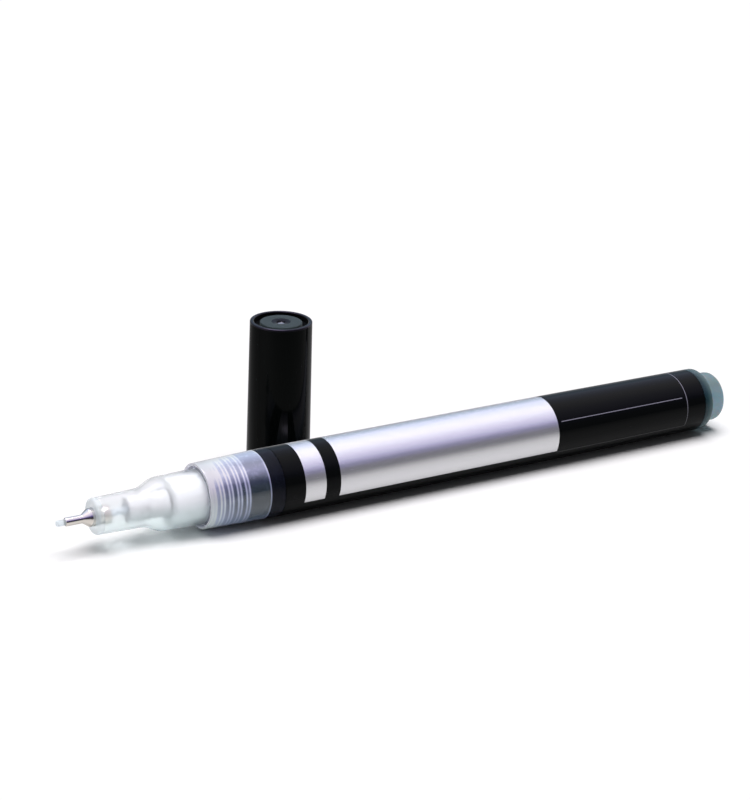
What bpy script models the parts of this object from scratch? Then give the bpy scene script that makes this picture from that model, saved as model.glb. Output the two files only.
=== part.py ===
"""Nail art pen: a valve marker with a needle tip, lying beside its cap.

Every length is in metres. The pen is turned about one axis. Places along it are measured
from the collar rim, where the clear nozzle leaves the barrel, and grow towards the tail.
The cap stands on its open end behind the pen, and its places are heights above the floor.
"""

import math

import bpy
import bmesh
from mathutils import Matrix, Vector

# Clearances shared by the pieces
SEAT_GAP = 0.00003          # pressed round pieces
RUN_GAP = 0.00006           # pieces that slide in each other
END_GAP = 0.0001            # faces that butt
CUT_OVERRUN = 0.0005        # how far a cutter runs past what it cuts

# Facets round the axis
BODY_STEPS = 32
SMALL_STEPS = 24
NIB_STEPS = 12
ARC_STEPS = 4
MERGE_DISTANCE = 0.000001

# Barrel: one tube with a tapered collar, a long label recess and a slight tail draft
BARREL_RADIUS = 0.0055
BARREL_WALL = 0.0010
BARREL_LENGTH = 0.0985
COLLAR_LENGTH = 0.01028
COLLAR_TAPER = 0.00031
COLLAR_RIM_ROUND = 0.00012
MOUTH_RELIEF = 0.0002       # the bore is wider where the nozzle plug sits
MOUTH_CHAMFER = 0.00012
TAIL_TAPER_LENGTH = 0.0285
TAIL_DRAFT = 0.000125
TAIL_ROUND = 0.0004

# Label: one film wrapped round the barrel, flush in its recess
LABEL_FRONT_MARGIN = 0.00252    # clear barrel between the collar and the label
LABEL_TAIL_MARGIN = 0.00188     # clear barrel behind the label
LABEL_THICKNESS = 0.0001

# Nozzle: clear moulding with a snout, a flare, a neck and a ribbed plug in the barrel
NECK_STEP = 0.00032         # the neck is this much smaller than the barrel mouth
NECK_LENGTH = 0.0063
NECK_DRAFT = 0.00016
FLARE_LENGTH = 0.0038
SNOUT_LENGTH = 0.0074
SNOUT_RADIUS_SHARE = 0.716  # of the flare's radius
SNOUT_DRAFT = 0.00018
SNOUT_ROUND = 0.00045
CHAMBER_SHARE = 0.5         # of the way from the stem to the outside of the snout
FLARE_STEPS = 8
SKIRT_BORE_SHARE = 0.787    # of the plug's radius
RIB_COUNT = 5
RIB_FIRST = 0.0007
RIB_PITCH = 0.00145
RIB_WIDTH = 0.0005
RIB_HEIGHT = 0.00022
RIB_SLOPE_SHARE = 0.25
PLUG_FLANGE = 0.0004

# Needle tip: steel tube, cone and base, held in the snout
NEEDLE_WALL = 0.00014
NEEDLE_LENGTH = 0.0027
CONE_LENGTH = 0.00105
CONE_RISE = 0.00075
NEEDLE_BASE_REACH = 0.00065
NEEDLE_SEAT_DEPTH = 0.0027
NEEDLE_EDGE = 0.00008
NEEDLE_GROOVE_WIDTH = 0.0005
NEEDLE_GROOVE_DEPTH = 0.00012
NEEDLE_FUNNEL = 0.0006

# Nib: a thin extruded plastic rod with ink channels
NIB_RADIUS = 0.00047
NIB_REACH = 0.0014
NIB_ROUND_SHARE = 0.5
NIB_GUIDE_LENGTH = 0.0027
NIB_TRAVEL = 0.001

# Valve: stem, felt wick, housing, gasket, spring and perforated retainer
STEM_SOCKET_WALL = 0.00043
STEM_SOCKET_DEPTH = 0.0016
STEM_FRONT_ROOM = 0.0005
STEM_NECK_RADIUS = 0.0007
STEM_NECK_LEAD = 0.001      # the thick front part ends this far before the housing
POPPET_THICKNESS = 0.0008
POPPET_SHARE = 0.5          # of the way from the seat hole to the housing bore
PIN_RADIUS = 0.00065
PIN_REACH = 0.0005          # the pin passes the retainer by this much at rest
HOUSING_REACH = 0.005       # the housing reaches this far forward of the collar rim
HOUSING_BORE_SHARE = 0.8    # of the housing's radius
HOUSING_FRONT_WALL = 0.001
SEAT_HOLE_SHARE = 0.22      # of the way from the stem to the housing bore
GASKET_THICKNESS = 0.0008
LIP_INNER_SHARE = 0.03      # the raised lip, between the seat hole and the housing bore
LIP_OUTER_SHARE = 0.24
LIP_FOOT_SHARE = 0.45
SPRING_LENGTH = 0.0038
SPRING_TURNS = 4
SPRING_POINTS_PER_TURN = 10
SPRING_WIRE_RADIUS = 0.00015
SPRING_SHARE = 0.75         # of the way from the pin to the poppet's edge
RETAINER_THICKNESS = 0.001
RETAINER_RIM = 0.0004       # housing wall that stands past the retainer
PORT_COUNT = 4
PORT_RADIUS_SHARE = 0.36
PORT_STEPS = 12
WICK_END_ROOM = 0.0002

# Ink and mixing ball
BALL_BORE_SHARE = 0.53      # ball to barrel bore
BALL_CHANNEL_GAP = 0.0001
BALL_REST = 0.040
INK_FRONT_GAP = 0.0003
BALL_SEGMENTS = 20
BALL_RINGS = 12

# Tail plug: pressed in the barrel, with a smaller head that stands out
PLUG_HEAD_STEP = 0.00023
PLUG_HEAD_LENGTH = 0.0036
PLUG_HEAD_ROUND = 0.0008
PLUG_SKIRT_LENGTH = 0.0056
PLUG_SHOULDER_SET_IN = 0.0004
PLUG_WALL = 0.0011
PLUG_END_WALL = 0.0035
PLUG_RIB_HEIGHT = 0.0001
PLUG_RIB_WIDTH = 0.0008
PLUG_RIB_COUNT = 2

# Cap: open-topped shell with a liner that shows at the closed end
CAP_FIT = 0.00007
CAP_WALL = 0.00078
CAP_DRAFT = 0.00023
CAP_TIP_ROOM = 0.001
CAP_END_DEPTH = 0.0032
CAP_EDGE_ROUND = 0.00022
CAP_MOUTH_CHAMFER = 0.0001
CAP_TOP_RIM_WALL = 0.0006
CAP_GROOVE_DEPTH = 0.001
CAP_WEB_THICKNESS = 0.0009
LINER_HEAD_SET_DOWN = 0.0002
LINER_HEAD_GROOVE = 0.001
LINER_HEAD_EDGE = 0.00012
LINER_FLANGE_THICKNESS = 0.0009
LINER_WALL = 0.0008
LINER_SEAL_GAP = 0.00008
LINER_MOUTH_SET_BACK = 0.0014
LINER_SHOULDER_GAP = 0.0003
LINER_TIP_ROOM = 0.00083    # round the base of the needle
LINER_RIB_COUNT = 6
LINER_RIB_WIDTH = 0.0006
LINER_RIB_LENGTH = 0.008
DIMPLE_RADIUS = 0.00155
DIMPLE_DEPTH = 0.00016
PIT_RADIUS = 0.0008
PIT_DEPTH = 0.0003
CAP_BEHIND_COLLAR = 0.01065 # along the pen, from the collar's rear end to the cap's axis
CAP_SIDE_GAP = 0.00115

# Radii that follow from the nib
NEEDLE_BORE_RADIUS = NIB_RADIUS + RUN_GAP
NEEDLE_RADIUS = NEEDLE_BORE_RADIUS + NEEDLE_WALL
NEEDLE_BASE_RADIUS = NEEDLE_RADIUS + CONE_RISE
NIB_GUIDE_RADIUS = NIB_RADIUS + 2 * RUN_GAP
STEM_SOCKET_RADIUS = NIB_RADIUS + SEAT_GAP
STEM_RADIUS = STEM_SOCKET_RADIUS + STEM_SOCKET_WALL

# Radii that follow from the barrel
BORE_RADIUS = BARREL_RADIUS - BARREL_WALL
MOUTH_RADIUS = BORE_RADIUS + MOUTH_RELIEF
RIM_RADIUS = BARREL_RADIUS - COLLAR_TAPER
TAIL_RADIUS = BARREL_RADIUS - TAIL_DRAFT
PLUG_RADIUS = MOUTH_RADIUS - SEAT_GAP
PLUG_ROOT_RADIUS = PLUG_RADIUS - RIB_HEIGHT
SKIRT_BORE_RADIUS = PLUG_ROOT_RADIUS * SKIRT_BORE_SHARE
NECK_RADIUS = MOUTH_RADIUS - NECK_STEP
FLARE_RADIUS = NECK_RADIUS - NECK_DRAFT
SNOUT_RADIUS = FLARE_RADIUS * SNOUT_RADIUS_SHARE
SNOUT_FRONT_RADIUS = SNOUT_RADIUS - SNOUT_DRAFT
CHAMBER_RADIUS = STEM_RADIUS + (SNOUT_FRONT_RADIUS - STEM_RADIUS) * CHAMBER_SHARE
BALL_RADIUS = BORE_RADIUS * BALL_BORE_SHARE

# Radii of the valve
HOUSING_RADIUS = SKIRT_BORE_RADIUS - SEAT_GAP
HOUSING_BORE_RADIUS = HOUSING_RADIUS * HOUSING_BORE_SHARE
SEAT_HOLE_RADIUS = STEM_RADIUS + (HOUSING_BORE_RADIUS - STEM_RADIUS) * SEAT_HOLE_SHARE
SEAT_RING = HOUSING_BORE_RADIUS - SEAT_HOLE_RADIUS
POPPET_RADIUS = SEAT_HOLE_RADIUS + SEAT_RING * POPPET_SHARE
LIP_INNER_RADIUS = SEAT_HOLE_RADIUS + SEAT_RING * LIP_INNER_SHARE
LIP_OUTER_RADIUS = SEAT_HOLE_RADIUS + SEAT_RING * LIP_OUTER_SHARE
LIP_FOOT_RADIUS = SEAT_HOLE_RADIUS + SEAT_RING * LIP_FOOT_SHARE
SPRING_RADIUS = PIN_RADIUS + (POPPET_RADIUS - PIN_RADIUS) * SPRING_SHARE
RETAINER_RADIUS = HOUSING_BORE_RADIUS - SEAT_GAP
PIN_HOLE_RADIUS = PIN_RADIUS + RUN_GAP

# Places along the pen
FLARE_END = -NECK_LENGTH
FLARE_START = FLARE_END - FLARE_LENGTH
SNOUT_FACE = FLARE_START - SNOUT_LENGTH
NEEDLE_SEAT_END = SNOUT_FACE + NEEDLE_SEAT_DEPTH
CHAMBER_START = NEEDLE_SEAT_END + NIB_GUIDE_LENGTH
HOUSING_FRONT = -HOUSING_REACH
CONE_BACK = SNOUT_FACE - NEEDLE_BASE_REACH
CONE_FRONT = CONE_BACK - CONE_LENGTH
NEEDLE_FRONT = CONE_FRONT - NEEDLE_LENGTH
NIB_TIP = NEEDLE_FRONT - NIB_REACH
STEM_FRONT = CHAMBER_START + STEM_FRONT_ROOM
NIB_BACK = STEM_FRONT + STEM_SOCKET_DEPTH - END_GAP
SEAT_FACE = HOUSING_FRONT + HOUSING_FRONT_WALL
GASKET_BACK = SEAT_FACE + END_GAP + GASKET_THICKNESS
POPPET_FRONT = GASKET_BACK + END_GAP
POPPET_BACK = POPPET_FRONT + POPPET_THICKNESS
SPRING_FRONT = POPPET_BACK + END_GAP
SPRING_BACK = SPRING_FRONT + SPRING_LENGTH
RETAINER_FRONT = SPRING_BACK + END_GAP
RETAINER_BACK = RETAINER_FRONT + RETAINER_THICKNESS
HOUSING_BACK = RETAINER_BACK + RETAINER_RIM
PIN_BACK = RETAINER_BACK + PIN_REACH
NOZZLE_BACK = COLLAR_LENGTH
SHOULDER_PLACE = NOZZLE_BACK + END_GAP
LABEL_START = COLLAR_LENGTH + LABEL_FRONT_MARGIN
LABEL_END = BARREL_LENGTH - LABEL_TAIL_MARGIN
TAIL_TAPER_START = BARREL_LENGTH - TAIL_TAPER_LENGTH
PLUG_SHOULDER = BARREL_LENGTH - PLUG_SHOULDER_SET_IN
PLUG_FRONT = PLUG_SHOULDER - PLUG_SKIRT_LENGTH
PEN_END = BARREL_LENGTH + PLUG_HEAD_LENGTH
PLUG_CUP_FLOOR = PEN_END - PLUG_END_WALL
INK_FRONT = PIN_BACK + NIB_TRAVEL + INK_FRONT_GAP
INK_BACK = PLUG_FRONT - INK_FRONT_GAP

# Cap sizes that follow from the pen
CAP_BORE_RADIUS = NECK_RADIUS + CAP_FIT
CAP_RADIUS = CAP_BORE_RADIUS + CAP_WALL
CAP_HEIGHT = CAP_TIP_ROOM + CAP_END_DEPTH - NIB_TIP
CAP_WEB_TOP = CAP_HEIGHT - CAP_GROOVE_DEPTH
CAP_WEB_BOTTOM = CAP_WEB_TOP - CAP_WEB_THICKNESS
LINER_BORE_RADIUS = SNOUT_RADIUS + LINER_SEAL_GAP
LINER_RADIUS = LINER_BORE_RADIUS + LINER_WALL
LINER_TIP_RADIUS = NEEDLE_BASE_RADIUS + LINER_TIP_ROOM
LINER_TOP = CAP_HEIGHT - LINER_HEAD_SET_DOWN
LINER_MOUTH = LINER_MOUTH_SET_BACK - FLARE_START
LINER_SHOULDER = LINER_SHOULDER_GAP - SNOUT_FACE
LINER_CAVITY_TOP = CAP_TIP_ROOM - NIB_TIP

# The origin lies on the floor under the middle of the pen and cap together
CAP_ALONG = COLLAR_LENGTH + CAP_BEHIND_COLLAR
CAP_ACROSS = BARREL_RADIUS + CAP_SIDE_GAP + CAP_RADIUS
PEN_X = -(NIB_TIP + PEN_END) / 2
PEN_Y = -(CAP_ACROSS + CAP_RADIUS - BARREL_RADIUS) / 2

QUARTER_TURN = math.pi / 2
FULL_TURN = 2 * math.pi


def clear_scene():
    for item in list(bpy.data.objects):
        bpy.data.objects.remove(item, do_unlink=True)


def new_collection(name):
    collection = bpy.data.collections.new(name)
    bpy.context.scene.collection.children.link(collection)
    return collection


def finish(name, color, roughness, metallic=0.0, clearness=0.0):
    """A Principled material; clearness lets light through the natural plastics."""
    material = bpy.data.materials.new(name)
    material.use_nodes = True
    shader = material.node_tree.nodes["Principled BSDF"]
    shader.inputs["Base Color"].default_value = (*color, 1.0)
    shader.inputs["Roughness"].default_value = roughness
    shader.inputs["Metallic"].default_value = metallic
    shader.inputs["Transmission Weight"].default_value = clearness
    material.diffuse_color = (*color, 1.0)
    return material


def empty_at(name, collection, location, turn):
    empty = bpy.data.objects.new(name, None)
    empty.location = location
    empty.rotation_euler = turn
    collection.objects.link(empty)
    return empty


def place(item, collection, parent, material, along=0.0):
    collection.objects.link(item)
    item.parent = parent
    item.location = (0, 0, along)
    item.data.materials.append(material)
    return item


def arc(center, radii, start_degrees, end_degrees, steps=ARC_STEPS):
    """Points of an elliptical arc; zero degrees points away from the axis."""
    points = []
    for step in range(steps + 1):
        angle = math.radians(start_degrees + (end_degrees - start_degrees) * step / steps)
        points.append((center[0] + radii[0] * math.cos(angle),
                       center[1] + radii[1] * math.sin(angle)))
    return points


def turned(name, outline, origin, steps=BODY_STEPS):
    """Turn an outline of (radius, place) points about the axis.

    The points run from the tail down the outer side and back up the inner one. The object's
    own origin is at the place given, and the outline closes itself unless it ends on the axis.
    """
    mesh = bpy.data.meshes.new(name)
    vertices = [(radius, 0, place_along - origin) for radius, place_along in outline]
    edges = [(index, index + 1) for index in range(len(outline) - 1)]
    if outline[0][0] > 0 and outline[-1][0] > 0:
        edges.append((len(outline) - 1, 0))
    mesh.from_pydata(vertices, edges, [])
    item = bpy.data.objects.new(name, mesh)
    turn = item.modifiers.new("Turn", "SCREW")
    turn.axis = "Z"
    turn.angle = FULL_TURN
    turn.steps = steps
    turn.render_steps = steps
    turn.use_merge_vertices = True
    turn.merge_threshold = MERGE_DISTANCE
    turn.use_smooth_shade = True
    return item


def mix(first, second, share):
    return first + (second - first) * share


def skin_radius(place_along):
    """Outer radius of the barrel: tapered collar, cylinder, slight draft to the tail."""
    if place_along < COLLAR_LENGTH:
        return mix(RIM_RADIUS, BARREL_RADIUS, place_along / COLLAR_LENGTH)
    if place_along > TAIL_TAPER_START:
        share = (place_along - TAIL_TAPER_START) / TAIL_TAPER_LENGTH
        return mix(BARREL_RADIUS, TAIL_RADIUS, share)
    return BARREL_RADIUS


def cap_skin_radius(height):
    """Outer radius of the cap, which tapers a little to its closed end."""
    return mix(CAP_RADIUS, CAP_RADIUS - CAP_DRAFT, height / CAP_HEIGHT)


def cap_bore_radius(height):
    return cap_skin_radius(height) - CAP_WALL


def make_barrel():
    recess = LABEL_THICKNESS + SEAT_GAP
    tail_skin = skin_radius(BARREL_LENGTH)
    outline = arc((tail_skin - TAIL_ROUND, BARREL_LENGTH - TAIL_ROUND),
                  (TAIL_ROUND, TAIL_ROUND), 90, 0)
    outline += [(skin_radius(LABEL_END + END_GAP), LABEL_END + END_GAP),
                (skin_radius(LABEL_END + END_GAP) - recess, LABEL_END + END_GAP),
                (skin_radius(TAIL_TAPER_START) - recess, TAIL_TAPER_START),
                (skin_radius(LABEL_START) - recess, LABEL_START - END_GAP),
                (skin_radius(LABEL_START), LABEL_START - END_GAP),
                (skin_radius(COLLAR_LENGTH), COLLAR_LENGTH)]
    outline += arc((RIM_RADIUS - COLLAR_RIM_ROUND, COLLAR_RIM_ROUND),
                   (COLLAR_RIM_ROUND, COLLAR_RIM_ROUND), 0, -90)
    outline += [(MOUTH_RADIUS + MOUTH_CHAMFER, 0),
                (MOUTH_RADIUS, MOUTH_CHAMFER),
                (MOUTH_RADIUS, SHOULDER_PLACE),
                (BORE_RADIUS, SHOULDER_PLACE),
                (BORE_RADIUS, BARREL_LENGTH)]
    return turned("barrel", outline, 0)


def make_label():
    outline = [(skin_radius(LABEL_END), LABEL_END),
               (skin_radius(TAIL_TAPER_START), TAIL_TAPER_START),
               (skin_radius(LABEL_START), LABEL_START),
               (skin_radius(LABEL_START) - LABEL_THICKNESS, LABEL_START),
               (skin_radius(TAIL_TAPER_START) - LABEL_THICKNESS, TAIL_TAPER_START),
               (skin_radius(LABEL_END) - LABEL_THICKNESS, LABEL_END)]
    return turned("label", outline, LABEL_START)


def rib_outline(first, pitch, count, width, root, crest):
    """Rounded ribs on a plug, from the last one to the first."""
    slope = width * RIB_SLOPE_SHARE
    points = []
    for index in reversed(range(count)):
        start = first + pitch * index
        points += [(root, start + width),
                   (crest, start + width - slope),
                   (crest, start + slope),
                   (root, start)]
    return points


def make_nozzle():
    flange = [(PLUG_RADIUS, NOZZLE_BACK),
              (PLUG_RADIUS, NOZZLE_BACK - PLUG_FLANGE),
              (PLUG_ROOT_RADIUS, NOZZLE_BACK - PLUG_FLANGE)]
    ribs = rib_outline(RIB_FIRST, RIB_PITCH, RIB_COUNT, RIB_WIDTH, PLUG_ROOT_RADIUS, PLUG_RADIUS)
    neck = [(PLUG_ROOT_RADIUS, RIB_FIRST / 2),
            (NECK_RADIUS, 0)]
    flare = []
    for step in range(FLARE_STEPS + 1):
        share = step / FLARE_STEPS
        rise = (1 + math.cos(math.pi * share)) / 2
        flare.append((mix(SNOUT_RADIUS, FLARE_RADIUS, rise), mix(FLARE_END, FLARE_START, share)))
    front = arc((SNOUT_FRONT_RADIUS - SNOUT_ROUND, SNOUT_FACE + SNOUT_ROUND),
                (SNOUT_ROUND, SNOUT_ROUND), 0, -90)
    inside = [(NEEDLE_BASE_RADIUS + SEAT_GAP, SNOUT_FACE),
              (NEEDLE_BASE_RADIUS + SEAT_GAP, NEEDLE_SEAT_END),
              (NIB_GUIDE_RADIUS, NEEDLE_SEAT_END),
              (NIB_GUIDE_RADIUS, CHAMBER_START),
              (CHAMBER_RADIUS, CHAMBER_START),
              (CHAMBER_RADIUS, HOUSING_FRONT - END_GAP),
              (SKIRT_BORE_RADIUS, HOUSING_FRONT - END_GAP),
              (SKIRT_BORE_RADIUS, NOZZLE_BACK)]
    return turned("nozzle", flange + ribs + neck + flare + front + inside, 0)


def make_needle_tip():
    back = NEEDLE_SEAT_END - END_GAP
    groove_end = (SNOUT_FACE + back + NEEDLE_GROOVE_WIDTH) / 2
    groove_start = groove_end - NEEDLE_GROOVE_WIDTH
    groove_radius = NEEDLE_BASE_RADIUS - NEEDLE_GROOVE_DEPTH
    outline = [(NEEDLE_BASE_RADIUS - NEEDLE_EDGE, back),
               (NEEDLE_BASE_RADIUS, back - NEEDLE_EDGE),
               (NEEDLE_BASE_RADIUS, groove_end),
               (groove_radius, groove_end),
               (groove_radius, groove_start),
               (NEEDLE_BASE_RADIUS, groove_start),
               (NEEDLE_BASE_RADIUS, CONE_BACK),
               (NEEDLE_RADIUS, CONE_FRONT),
               (NEEDLE_RADIUS, NEEDLE_FRONT + NEEDLE_EDGE),
               (NEEDLE_RADIUS - NEEDLE_EDGE, NEEDLE_FRONT),
               (NEEDLE_BORE_RADIUS, NEEDLE_FRONT),
               (NEEDLE_BORE_RADIUS, back - NEEDLE_FUNNEL),
               (NEEDLE_BORE_RADIUS + NEEDLE_WALL, back)]
    return turned("needle_tip", outline, SNOUT_FACE, SMALL_STEPS)


def make_nib():
    rounding = NIB_RADIUS * NIB_ROUND_SHARE
    flat = NIB_RADIUS - rounding
    outline = [(0, NIB_BACK),
               (NIB_RADIUS, NIB_BACK)]
    outline += arc((flat, NIB_TIP + rounding), (rounding, rounding), 0, -90)
    outline.append((0, NIB_TIP))
    return turned("nib", outline, NEEDLE_FRONT, NIB_STEPS)


def make_valve_stem():
    neck_front = HOUSING_FRONT - STEM_NECK_LEAD
    socket_floor = STEM_FRONT + STEM_SOCKET_DEPTH
    shoulder = STEM_RADIUS - STEM_NECK_RADIUS
    outline = [(0, PIN_BACK),
               (PIN_RADIUS - RUN_GAP, PIN_BACK),
               (PIN_RADIUS, PIN_BACK - RUN_GAP),
               (PIN_RADIUS, POPPET_BACK),
               (POPPET_RADIUS, POPPET_BACK),
               (POPPET_RADIUS, POPPET_FRONT + POPPET_THICKNESS / 2),
               (LIP_OUTER_RADIUS, POPPET_FRONT),
               (STEM_NECK_RADIUS, POPPET_FRONT),
               (STEM_NECK_RADIUS, neck_front),
               (STEM_RADIUS, neck_front - shoulder),
               (STEM_RADIUS, STEM_FRONT),
               (STEM_SOCKET_RADIUS, STEM_FRONT),
               (STEM_SOCKET_RADIUS, socket_floor),
               (0, socket_floor)]
    return turned("valve_stem", outline, POPPET_FRONT, SMALL_STEPS)


def make_feed_wick():
    inner = STEM_RADIUS + RUN_GAP
    outer = CHAMBER_RADIUS - SEAT_GAP
    back = HOUSING_FRONT - 2 * END_GAP
    front = CHAMBER_START + WICK_END_ROOM
    outline = [(outer, back), (outer, front), (inner, front), (inner, back)]
    return turned("feed_wick", outline, front, SMALL_STEPS)


def make_valve_housing():
    outline = [(HOUSING_RADIUS, HOUSING_BACK),
               (HOUSING_RADIUS, HOUSING_FRONT),
               (SEAT_HOLE_RADIUS, HOUSING_FRONT),
               (SEAT_HOLE_RADIUS, SEAT_FACE),
               (HOUSING_BORE_RADIUS, SEAT_FACE),
               (HOUSING_BORE_RADIUS, HOUSING_BACK)]
    return turned("valve_housing", outline, HOUSING_FRONT)


def make_valve_gasket():
    outer = HOUSING_BORE_RADIUS - SEAT_GAP
    front = SEAT_FACE + END_GAP
    groove = GASKET_BACK - GASKET_THICKNESS / 2
    outline = [(outer, groove),
               (outer, front),
               (SEAT_HOLE_RADIUS, front),
               (SEAT_HOLE_RADIUS, groove),
               (LIP_INNER_RADIUS, GASKET_BACK),
               (LIP_OUTER_RADIUS, GASKET_BACK),
               (LIP_FOOT_RADIUS, groove)]
    return turned("valve_gasket", outline, front)


def spring_points():
    """A helix with a short straight lead, one wire across, square to each end."""
    lead = 2 * SPRING_WIRE_RADIUS
    length = SPRING_LENGTH - 2 * SPRING_WIRE_RADIUS
    count = SPRING_TURNS * SPRING_POINTS_PER_TURN
    points = []
    for index in range(count + 1):
        angle = FULL_TURN * index / SPRING_POINTS_PER_TURN
        height = SPRING_WIRE_RADIUS + length * index / count
        points.append(Vector((SPRING_RADIUS * math.cos(angle),
                              SPRING_RADIUS * math.sin(angle),
                              height)))
    first = points[0] - Vector((0, lead, 0))
    last = points[-1] + Vector((0, lead, 0))
    return [first] + points + [last]


def least_self_gap(points, wire_radius, apart):
    """Least clear distance between turns, over points more than half a turn apart."""
    least = min((points[i] - points[j]).length
                for i in range(len(points))
                for j in range(i + apart, len(points)))
    return least - 2 * wire_radius


def make_valve_spring():
    points = spring_points()
    curve = bpy.data.curves.new("valve_spring", "CURVE")
    curve.dimensions = "3D"
    curve.bevel_depth = SPRING_WIRE_RADIUS
    curve.bevel_resolution = 1
    curve.use_fill_caps = True
    spline = curve.splines.new("POLY")
    spline.points.add(len(points) - 1)
    for point, place_at in zip(spline.points, points):
        point.co = (*place_at, 1)
    gap = least_self_gap(points, SPRING_WIRE_RADIUS, SPRING_POINTS_PER_TURN // 2 + 1)
    print(f"valve_spring: least gap between turns {gap * 1000:.3f} mm")
    return bpy.data.objects.new("valve_spring", curve)


def make_spring_retainer(cutters, parent):
    outline = [(RETAINER_RADIUS, RETAINER_BACK),
               (RETAINER_RADIUS, RETAINER_FRONT),
               (PIN_HOLE_RADIUS, RETAINER_FRONT),
               (PIN_HOLE_RADIUS, RETAINER_BACK)]
    item = turned("spring_retainer", outline, RETAINER_FRONT)
    web = RETAINER_RADIUS - PIN_HOLE_RADIUS
    circle = PIN_HOLE_RADIUS + web / 2
    depth = RETAINER_THICKNESS + 2 * CUT_OVERRUN
    mesh = bpy.data.meshes.new("retainer_ports")
    shape = bmesh.new()
    for index in range(PORT_COUNT):
        angle = FULL_TURN * (index + 0.5) / PORT_COUNT
        spot = Vector((circle * math.cos(angle), circle * math.sin(angle), RETAINER_THICKNESS / 2))
        bmesh.ops.create_cone(shape, cap_ends=True, segments=PORT_STEPS, depth=depth,
                              radius1=web * PORT_RADIUS_SHARE, radius2=web * PORT_RADIUS_SHARE,
                              matrix=Matrix.Translation(spot))
    shape.to_mesh(mesh)
    shape.free()
    cutter = bpy.data.objects.new("retainer_ports", mesh)
    cutters.objects.link(cutter)
    cutter.parent = parent
    cutter.location = (0, 0, RETAINER_FRONT)
    cutter.hide_render = True
    cutter.display_type = "WIRE"
    cut = item.modifiers.new("Ports", "BOOLEAN")
    cut.object = cutter
    cut.solver = "EXACT"
    cut.operation = "DIFFERENCE"
    return item


def make_ink_charge():
    """The ink lines the barrel and the nozzle skirt and leaves a channel for the ball."""
    channel = BALL_RADIUS + BALL_CHANNEL_GAP
    step = NOZZLE_BACK + END_GAP
    outer = BORE_RADIUS - SEAT_GAP
    inner = SKIRT_BORE_RADIUS - SEAT_GAP
    outline = [(outer, INK_BACK), (outer, step), (inner, step),
               (inner, INK_FRONT), (channel, INK_FRONT), (channel, INK_BACK)]
    return turned("ink_charge", outline, INK_FRONT)


def make_mixing_ball():
    mesh = bpy.data.meshes.new("mixing_ball")
    shape = bmesh.new()
    bmesh.ops.create_uvsphere(shape, u_segments=BALL_SEGMENTS, v_segments=BALL_RINGS,
                              radius=BALL_RADIUS)
    shape.to_mesh(mesh)
    shape.free()
    mesh.shade_smooth()
    return bpy.data.objects.new("mixing_ball", mesh)


def make_tail_plug():
    head = BORE_RADIUS - PLUG_HEAD_STEP
    skirt = BORE_RADIUS - SEAT_GAP
    root = skirt - PLUG_RIB_HEIGHT
    cup = root - PLUG_WALL
    pitch = (PLUG_SKIRT_LENGTH - PLUG_RIB_WIDTH) / PLUG_RIB_COUNT
    first = PLUG_FRONT + pitch / 2
    outline = [(0, PEN_END)]
    outline += arc((head - PLUG_HEAD_ROUND, PEN_END - PLUG_HEAD_ROUND),
                   (PLUG_HEAD_ROUND, PLUG_HEAD_ROUND), 90, 0)
    outline += [(head, PLUG_SHOULDER), (root, PLUG_SHOULDER)]
    outline += rib_outline(first, pitch, PLUG_RIB_COUNT, PLUG_RIB_WIDTH, root, skirt)
    outline += [(root, PLUG_FRONT + PLUG_RIB_HEIGHT),
                (root - PLUG_RIB_HEIGHT, PLUG_FRONT),
                (cup, PLUG_FRONT),
                (cup, PLUG_CUP_FLOOR),
                (0, PLUG_CUP_FLOOR)]
    return turned("tail_plug", outline, PLUG_SHOULDER)


def make_cap_shell():
    head_hole = liner_head_radius() + SEAT_GAP
    groove = cap_skin_radius(CAP_HEIGHT) - CAP_TOP_RIM_WALL
    edge = CAP_EDGE_ROUND
    outline = arc((cap_skin_radius(CAP_HEIGHT) - edge, CAP_HEIGHT - edge), (edge, edge), 90, 0)
    outline += [(cap_skin_radius(0), CAP_MOUTH_CHAMFER),
                (cap_skin_radius(0) - CAP_MOUTH_CHAMFER, 0),
                (cap_bore_radius(0) + CAP_MOUTH_CHAMFER, 0),
                (cap_bore_radius(0), CAP_MOUTH_CHAMFER),
                (cap_bore_radius(CAP_WEB_BOTTOM), CAP_WEB_BOTTOM),
                (head_hole, CAP_WEB_BOTTOM),
                (head_hole, CAP_WEB_TOP),
                (groove, CAP_WEB_TOP),
                (groove, CAP_HEIGHT - CAP_MOUTH_CHAMFER),
                (groove + CAP_MOUTH_CHAMFER, CAP_HEIGHT)]
    return turned("cap_shell", outline, 0)


def liner_head_radius():
    return cap_skin_radius(CAP_HEIGHT) - CAP_TOP_RIM_WALL - LINER_HEAD_GROOVE


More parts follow.
